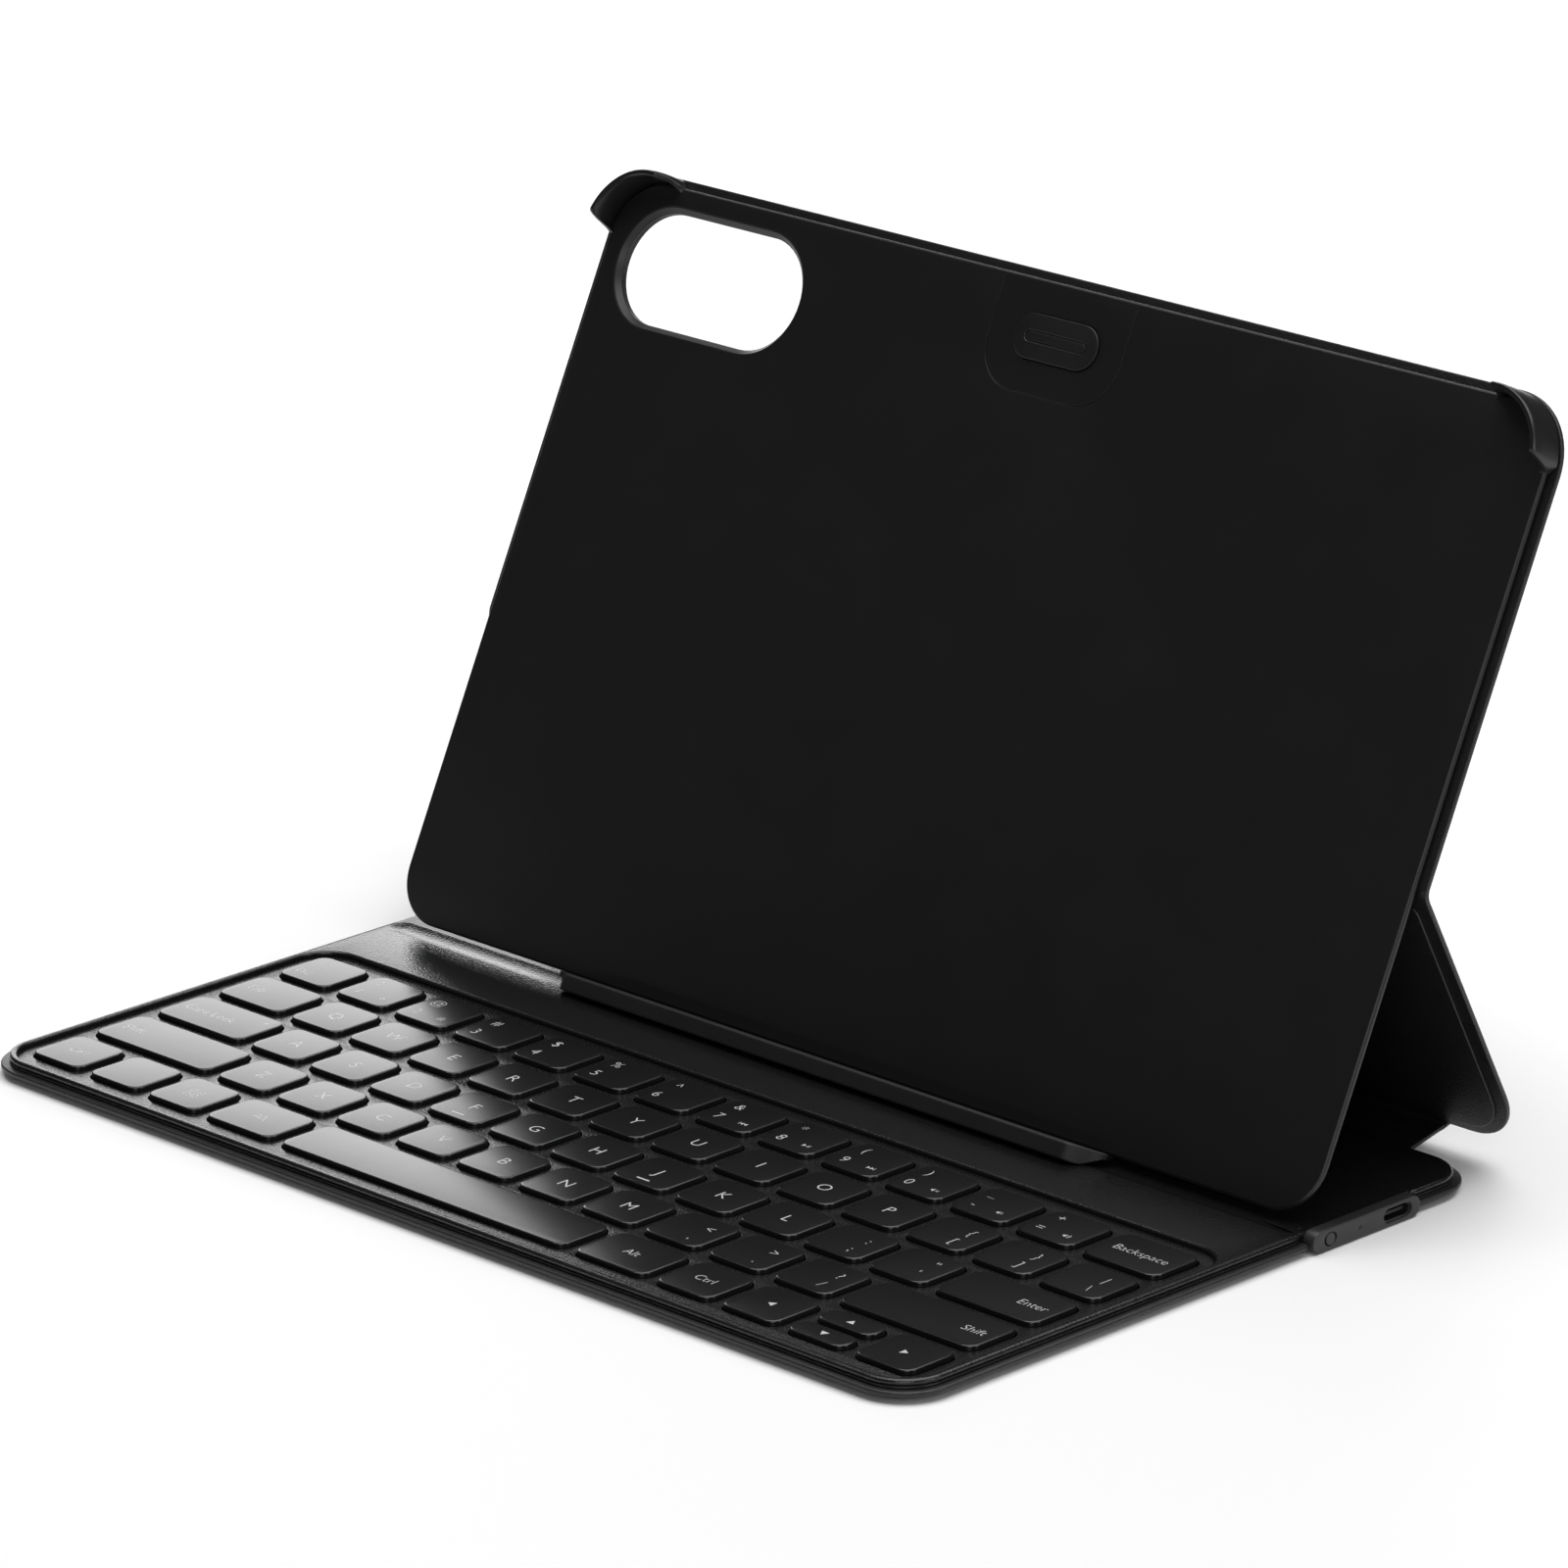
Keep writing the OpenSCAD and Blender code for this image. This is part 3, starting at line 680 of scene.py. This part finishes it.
def special_legends(node, cap):
    x, y, w, d = cap
    left, right = x - w / 2 + 2.5, x + w / 2 - 2.8
    if node == "key_esc":
        return [letters("Esc", x - w / 2 + 2.2, y - 3.0, 2.5, "LEFT"),
                letters("~", x - w / 2 + 3.6, y + 3.6, 2.6),
                letters("`", x + w / 2 - 4, y + 3.0, 2.8)]
    if node == "key_backslash":
        return pair_legends(cap, "|", "\\")
    if node in ("key_tab", "key_caps_lock", "key_shift_left"):
        words = {"key_tab": "Tab", "key_caps_lock": "Caps Lock", "key_shift_left": "Shift"}[node]
        marks = [letters(words, left, y, 2.7, "LEFT")]
        if node == "key_caps_lock":
            marks.append(mark(circle(x + w / 2 - 3.2, y + 4.2, 0.4)))
        return marks
    if node in ("key_backspace", "key_enter", "key_shift_right"):
        words = {"key_backspace": "Backspace", "key_enter": "Enter", "key_shift_right": "Shift"}[node]
        return [letters(words, right, y, 2.7, "RIGHT")]
    if node in ("key_ctrl_left", "key_ctrl_right"):
        return [letters("Ctrl", x, y, 2.6)]
    if node in ("key_alt_left", "key_alt_right"):
        return [letters("Alt", x, y, 2.6)]
    turns = {"key_arrow_left": 180, "key_arrow_up": 90, "key_arrow_down": 270, "key_arrow_right": 0}
    if node in turns:
        return [mark(arrowhead(x, y, 1.7, 2.1, turns[node]))]
    if node == "key_menu":
        return [mark(round_rect(1.6, 1.6, 0.3, (x + sx, y + sy), 3),
                     round_rect(1.2, 1.2, 0.2, (x + sx, y + sy), 3))
                for sx in (-1.15, 1.15) for sy in (-1.15, 1.15)]
    return []


def make_keys():
    columns = [node for node in CAPS if node.startswith("keys_")]
    for node, caps in CAPS.items():
        pieces = [keycap(cap) for cap in caps]
        if node in columns:
            pieces += column_legends(columns.index(node), caps)
        else:
            pieces += special_legends(node, caps[0])
        finish_piece(join(node + "_cap", pieces), node, "key_plastic", node)


# ---------------------------------------------------------------- leather cover
def bend_sheet(name, loops, profile, cuts, material, thickness=SKIN_T):
    """A sheet drawn flat as (x, t), then laid along profile(t) -> (y, z, angle of travel in degrees)."""
    mesh = plate_mesh(loops, -thickness / 2, thickness / 2, 0.4)
    bm = bmesh.new()
    bm.from_mesh(mesh)
    for t in cuts:
        geom = bm.verts[:] + bm.edges[:] + bm.faces[:]
        bmesh.ops.bisect_plane(bm, geom=geom, dist=1e-5, plane_co=(0, t, 0), plane_no=(0, 1, 0))
    for vert in bm.verts:
        y, z, angle = profile(vert.co.y)
        a = math.radians(angle)
        lift = vert.co.z
        vert.co = (vert.co.x * MM, (y - math.sin(a) * lift) * MM, (z + math.cos(a) * lift) * MM)
    bmesh.ops.recalc_face_normals(bm, faces=bm.faces)
    bm.to_mesh(mesh)
    bm.free()
    mesh.materials.clear()
    mesh.materials.append(material)
    return keep(name, mesh, 40)


def fold_profile(at, angle_in, angle_out, reach):
    """Straight in, an arc over `reach` each side of the fold point, straight out. t is 0 at the fold."""
    turn = (angle_out - angle_in + 540) % 360 - 180
    radius = reach / math.tan(math.radians(abs(turn)) / 2)
    side = 1 if turn > 0 else -1
    a_in = math.radians(angle_in)
    start = (at[0] - reach * math.cos(a_in), at[1] - reach * math.sin(a_in))
    centre = (start[0] - side * radius * math.sin(a_in), start[1] + side * radius * math.cos(a_in))
    length = radius * math.radians(abs(turn))

    def profile(t):
        u = t + length / 2
        if u <= 0:
            return start[0] + u * math.cos(a_in), start[1] + u * math.sin(a_in), angle_in
        angle = angle_in + side * math.degrees(min(u, length) / radius)
        a = math.radians(angle)
        y = centre[0] + side * radius * math.sin(a)
        z = centre[1] - side * radius * math.cos(a)
        over = max(0.0, u - length)
        return y + over * math.cos(a), z + over * math.sin(a), angle

    return profile, length


def fold_cuts(length, steps=12):
    return [length * (i / steps - 0.5) for i in range(steps + 1)]


def make_cover():
    """The cover leather in three lengths, each bending at one fold, so that they butt on flat stretches."""
    material = MATERIALS["cover_leather"]
    half = BASE_W / 2
    flap_angle_up = 180 - FLAP_SLOPE
    spine_angle = math.degrees(math.atan2(B_FOLD[1] - A_FOLD[1], B_FOLD[0] - A_FOLD[0]))
    flap_len = math.dist(B_FOLD, C_FOLD)
    mid = flap_len / 2

    # upper part: up the flap, over the middle fold, up the cover
    profile, length = fold_profile(C_FOLD, flap_angle_up, LEAN, FOLD_R)
    trim = 2 * FOLD_R - length
    lean = math.radians(LEAN)
    fold_s = (C_FOLD[1] - TRAY_ORIGIN[2] + LEATHER_MID * math.cos(lean)) / math.sin(lean)
    top = COVER_TOP - fold_s - trim / 2
    loop = arc(half - COVER_R, top - COVER_R, COVER_R, 0, 90, 16)
    loop += arc(-half + COVER_R, top - COVER_R, COVER_R, 90, 180, 16)
    loop += [(-half, -mid + trim / 2), (half, -mid + trim / 2)]
    camera = [(x, y - fold_s - trim / 2) for x, y in camera_outline()]
    cover = bend_sheet("cover_leather", [loop, camera], profile, fold_cuts(length), material)
    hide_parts("cover_skin")
    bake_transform(cover)

    # lower part: back along the spine, round the sharp fold, up the flap
    profile, length = fold_profile(B_FOLD, spine_angle, flap_angle_up, 1.6)
    trim = 2 * 1.6 - length
    spine_len = math.dist(A_FOLD, B_FOLD)
    tab, corner, ease = 120.0, 15.0, 2.5
    edge = 0.6
    low = -spine_len / 2 + trim / 2
    high = mid - trim / 2
    loop = [(half, high), (-half, high)]
    loop += arc(-half + corner, edge + corner, corner, 180, 270, 12)
    loop += arc(-tab - ease, edge - ease, ease, 90, 0, 6)
    loop += [(-tab, low), (tab, low)]
    loop += arc(tab + ease, edge - ease, ease, 180, 90, 6)
    loop += arc(half - corner, edge + corner, corner, 270, 360, 12)
    flap = bend_sheet("flap_leather", [loop], profile, fold_cuts(length, 16), material)
    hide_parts("flap_skin")
    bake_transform(flap)

    # spine root: out of the brim's rear edge and along half the spine
    profile, length = fold_profile(A_FOLD, 0.0, spine_angle, 1.2)
    high = spine_len / 2 - (2 * 1.2 - length) / 2
    loop = [(tab, high), (-tab, high), (-tab, -1.4), (tab, -1.4)]
    root = bend_sheet("spine_leather", [loop], profile, fold_cuts(length, 4), material)
    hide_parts("spine_skin")
    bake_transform(root)


def make_flap_lining():
    """The stiff lining on the flap's inner side, set in from the leather's edge."""
    half, high = BASE_W / 2 - FLAP_LINING_IN, math.dist(B_FOLD, C_FOLD) - FLAP_LINING_IN
    r_low, r_top = 15.0 - FLAP_LINING_IN, 2.0
    loop = arc(half - r_top, high - r_top, r_top, 0, 90) + arc(-half + r_top, high - r_top, r_top, 90, 180)
    loop += arc(-half + r_low, FLAP_LINING_IN + r_low, r_low, 180, 270)
    loop += arc(half - r_low, FLAP_LINING_IN + r_low, r_low, 270, 360)
    turn = Matrix.Translation((0, *B_FOLD)) @ Matrix.Rotation(math.radians(180 - FLAP_SLOPE), 4, "X")
    lining = plate("flap_lining", [loop], SKIN_T / 2 - 0.1, SKIN_T / 2 + 0.6, 0.3,
                   MATERIALS["cover_leather"], turn)
    finish_piece(lining, "flap", "cover_leather", "flap_board", "flap_magnets")


# ---------------------------------------------------------------- tray
def on_tray(name, loops, z0, z1, bevel, material, steps=3):
    return plate(name, loops, z0, z1, bevel, MATERIALS[material], TRAY_TURN, steps)


def tray_band(name, outline, rows):
    """A band round an outline of the tray, from rows of (growth, front)."""
    bm = bmesh.new()
    bridge(bm, [[bm.verts.new((x, y, front)) for x, y in outline(grow)] for grow, front in rows])
    mesh = bpy.data.meshes.new(name)
    bm.to_mesh(mesh)
    bm.free()
    mesh.transform(Matrix.Scale(MM, 4) @ TRAY_TURN)
    mesh.materials.append(MATERIALS["tray_plastic"])
    return keep(name, mesh, 45)


def make_tray():
    """The tray: a plate with the insert's seam cut in it, inside a rounded rim, and a sloping camera wall."""
    pad_hole = stadium(PAD_STRAIGHT, PAD_R + 0.12, PAD_POS)
    inner = -0.8
    top_edge = TRAY_H + inner
    half = INSERT_HALF_W + INSERT_GAP
    corner_up = INSERT_LOW - INSERT_GAP + INSERT_R
    notch = [(half, top_edge)]
    notch += reversed(arc(half - INSERT_R, corner_up, INSERT_R, 270, 360))
    notch += reversed(arc(-half + INSERT_R, corner_up, INSERT_R, 180, 270))
    notch += [(-half, top_edge)]
    outline = tray_outline(inner)
    outer = outline[:15] + notch + outline[15:]
    wide = CAMERA_SLOPE + 0.3
    top = on_tray("tray_front", [outer, camera_outline(wide - 0.12)], -0.62, 0, 0.12, "tray_plastic")
    back = on_tray("tray_rear", [tray_outline(inner), camera_outline(wide), pad_hole], -TRAY_T, -0.6, 0.05,
                   "tray_plastic")
    rim = tray_band("rim", tray_outline,
                    [(-1.0, -0.05), (-0.88, 0.0), (-0.62, -0.04), (-0.38, -0.14), (-0.18, -0.32),
                     (-0.05, -0.58), (0.0, -0.85), (0.0, -TRAY_T + 0.12), (-0.12, -TRAY_T), (-1.0, -TRAY_T)])
    wall = tray_band("wall", camera_outline,
                     [(wide, -0.3), (wide - 0.15, -0.03), (CAMERA_SLOPE, -0.03), (CAMERA_SLOPE - 0.08, -0.09),
                      (0.12, -1.16), (0.03, -1.25), (0.0, -1.35), (0.0, -TRAY_BACK)])
    finish_piece(join("tray_shell", [top, back, rim, wall]), "tray", "tray_plastic", "tray")
    insert = on_tray("insert", [insert_outline(top_edge), pad_hole], -0.6, 0, 0.12, "tray_plastic")
    finish_piece(insert, "tray", "tray_plastic", "coil_insert")
    slot_hole = stadium(15.6, 1.3, PAD_POS)
    pad = stadium(PAD_STRAIGHT, PAD_R, PAD_POS)
    body = on_tray("pad_body", [pad, slot_hole], -0.6, 0.5, 0.22, "pad_rubber")
    core = on_tray("pad_core", [stadium(15.6, 1.0, PAD_POS)], -0.6, 0.48, 0.1, "pad_rubber")
    floor = on_tray("pad_floor", [stadium(15.8, 1.5, PAD_POS)], -0.6, 0.25, 0.02, "pad_rubber")
    finish_piece(join("pen_pad", [body, core, floor]), "tray", "pad_rubber", "coil_pad")


def smooth(value):
    value = min(1.0, max(0.0, value))
    return value * value * (3 - 2 * value)


def clip_path(side, steps=22):
    """Points and outward normals along the tray's edge under a clip, each with its distance from an end."""
    r = TRAY_R_TOP
    cx, cy = TRAY_W / 2 - r, TRAY_H - r
    points = []
    run = 10
    for i in range(run):
        points.append((CLIP_FOOT_X + (cx - CLIP_FOOT_X) * i / run, TRAY_H, 0.0, 1.0))
    for i in range(steps + 1):
        a = math.radians(90 - 90 * i / steps)
        points.append((cx + r * math.cos(a), cy + r * math.sin(a), math.cos(a), math.sin(a)))
    points.append((TRAY_W / 2, CLIP_FOOT_UP, 1.0, 0.0))
    travel = [0.0]
    for one, two in zip(points, points[1:]):
        travel.append(travel[-1] + math.dist(one[:2], two[:2]))
    total = travel[-1]
    return [(side * x, y, side * nx, ny, min(d, total - d)) for (x, y, nx, ny), d in zip(points, travel)]


def clip_section(height, out):
    """The wall's section as (outward, front), leaning in a little towards its rounded top."""
    wall, lean = 1.5, 0.1
    outer, inner = [], []
    for level, round_in in ((0.0, 0.0), (0.3, 0.0), (0.6, 0.0), (0.88, 0.02), (0.96, 0.12), (1.0, 0.36)):
        front = -TRAY_T + (height + TRAY_T) * level
        shift = lean * (max(0.0, front) / CLIP_H) ** 2
        outer.append((out - shift - round_in, front))
        inner.append((out - wall - 2 * shift + round_in, front))
    return outer + list(reversed(inner))


def make_clip(side, name, node):
    """A corner clip: a thin wall round the corner whose ends fall away in an S."""
    bm = bmesh.new()
    rings = []
    for x, y, nx, ny, from_end in clip_path(side, 40):
        rise = smooth(from_end / 3.4)
        height = 0.05 + (CLIP_H - 0.05) * rise
        out = CLIP_OUT * smooth(from_end / 2.5 + 0.1)
        ring = [bm.verts.new((x + nx * o, y + ny * o, f)) for o, f in clip_section(height, out)]
        rings.append(ring)
    bridge(bm, rings, ends=True)
    mesh = bpy.data.meshes.new(name)
    bm.to_mesh(mesh)
    bm.free()
    mesh.transform(Matrix.Scale(MM, 4) @ TRAY_TURN)
    mesh.materials.append(MATERIALS["clip_plastic"])
    finish_piece(keep(name, mesh, 50), "tray", "clip_plastic", node)


def make_lip():
    """The lip: a ledge for the tablet, with rounded ends, and a foot that stands in the groove."""
    half, depth = LIP_HALF_L, LIP_DEPTH
    section = [(0.0, 0.0), (6.1, 0.0), (6.42, -0.08), (6.62, -0.28), (depth, -0.6), (depth, -0.75),
               (depth, -3.45), (depth, -3.6), (6.6, -3.9), (6.3, -3.96), (1.9, -2.7), (-0.5, -2.55),
               (-TRAY_T, -2.2), (-TRAY_T, 0.0)]
    bm = bmesh.new()
    rings = []
    places = [(-half + LIP_RUN * i / 16, LIP_END + (depth - LIP_END) * smooth(i / 16)) for i in range(17)]
    places += [(-x, reach) for x, reach in reversed(places)]
    for x, reach in places:
        drop = 0.3 + 0.7 * smooth((half - abs(x)) / 5.0)
        rings.append([bm.verts.new((x, up * drop, front * reach / depth if front > 0 else front))
                      for front, up in section])
    bridge(bm, rings, ends=True)
    mesh = bpy.data.meshes.new("lip")
    bm.to_mesh(mesh)
    bm.free()
    mesh.transform(Matrix.Scale(MM, 4) @ TRAY_TURN)
    mesh.materials.append(MATERIALS["lip_plastic"])
    finish_piece(keep("tablet_lip", mesh, 40), "tray", "lip_plastic", "tray_lip")


# ---------------------------------------------------------------- port bar
def make_port():
    """The port bar's face with a chamfered socket mouth, and the button with its finger grooves."""
    low, high = node_box("port_bar")
    bar_y, port_z = (low[1] + high[1]) / 2, (low[2] + high[2]) / 2
    h = high[2] - low[2]
    button_low, button_high = node_box("pairing_button")
    button_y = (button_low[1] + button_high[1]) / 2
    led_low, led_high = node_box("led_window")
    led_y = (led_low[1] + led_high[1]) / 2
    usb_low, usb_high = node_box("usb_shell")
    usb_y = (usb_low[1] + usb_high[1]) / 2
    material = MATERIALS["bar_plastic"]
    outline = stadium(high[1] - low[1] - h, h / 2, (bar_y, port_z), 16)
    mouth = stadium(5.8, 1.6, (usb_y, port_z), 16)
    led = stadium(0.01, 0.45, (led_y, port_z), 8)
    hole = [(button_y + 1.95 * c, port_z + 1.5 * s) for c, s in circle(0, 0, 1, 36)]
    bore = circle(button_y, port_z, 1.52, 36)
    face = plate("bar_face", [outline, mouth, led, hole], 0, 3.1, 0.22, material, along_x(high[0] - 3.1))
    neck_outline = stadium(high[1] - low[1] - h, 1.75, (bar_y, port_z), 16)
    neck = plate("bar_neck", [neck_outline, mouth, led, bore], 0, 3.0, 0.05, material, along_x(low[0]))
    finish_piece(join("port_bar_face", [face, neck]), "base", "bar_plastic", "port_bar")
    disc = circle(button_y, port_z, 1.4, 36)
    cap = plate("pairing_button_cap", [disc], 0.5, 2.95, 0.08, material, along_x(button_low[0]))
    finish_piece(cap, "pairing_button", "bar_plastic", "pairing_button")


# ---------------------------------------------------------------- camera and light
def make_camera():
    data = bpy.data.cameras.new("camera")
    data.sensor_width = VIEW_SENSOR
    data.lens = VIEW_LENS
    data.clip_start = 0.05
    data.clip_end = 50
    camera = bpy.data.objects.new("camera", data)
    level = math.cos(VIEW_ELEVATION)
    back = Vector((math.sin(VIEW_AZIMUTH) * level, -math.cos(VIEW_AZIMUTH) * level, math.sin(VIEW_ELEVATION)))
    camera.location = VIEW_PLACE
    camera.rotation_euler = back.to_track_quat("Z", "Y").to_euler()
    scene.collection.objects.link(camera)
    scene.camera = camera


def area_light(name, place, target, size, energy):
    data = bpy.data.lights.new(name, "AREA")
    data.shape = "RECTANGLE"
    data.size, data.size_y = size
    data.energy = energy
    light = bpy.data.objects.new(name, data)
    light.location = place
    light.rotation_euler = (Vector(place) - Vector(target)).to_track_quat("Z", "Y").to_euler()
    light.visible_camera = False
    scene.collection.objects.link(light)


def make_studio():
    mesh = bpy.data.meshes.new("floor")
    size = FLOOR_HALF
    corners = [(-size, -size, 0), (size, -size, 0), (size, size, 0), (-size, size, 0)]
    mesh.from_pydata(corners, [], [(0, 1, 2, 3)])
    floor = bpy.data.objects.new("floor", mesh)
    floor.location.z = -FLOOR_DROP
    scene.collection.objects.link(floor)
    paper = Nodes("floor paper", (0.86, 0.86, 0.86), 0.8)
    paper.set_normal(paper.bump(paper.noise(400.0), 0.05, 0.0001))
    mesh.materials.append(paper.material)
    world = bpy.data.worlds.new("studio")
    scene.world = world
    world.use_nodes = True
    background = world.node_tree.nodes["Background"]
    background.inputs["Color"].default_value = (1, 1, 1, 1)
    background.inputs["Strength"].default_value = WORLD_STRENGTH
    area_light("top light", (0, 0.6, 2.6), (0, 0.6, 0), (3.4, 3.4), 106)
    area_light("back light", (-1.45, 1.35, 0.62), (-0.08, -0.04, 0), (1.5, 0.9), 13)
    area_light("side light", (2.2, 0.6, 0.9), (0.14, 0.05, 0.05), (0.8, 1.2), 8)
    area_light("front light", (1.75, -1.75, 1.05), (0, 0, 0.08), (1.2, 1.2), 13)
    scene.view_settings.view_transform = "Standard"


make_camera()
make_studio()
paint_frame()
make_base()
make_deck()
make_key_floor()
make_keys()
make_cover()
make_flap_lining()
make_tray()
make_clip(-1, "clip_left", "left_clip")
make_clip(1, "clip_right", "right_clip")
make_lip()
make_port()
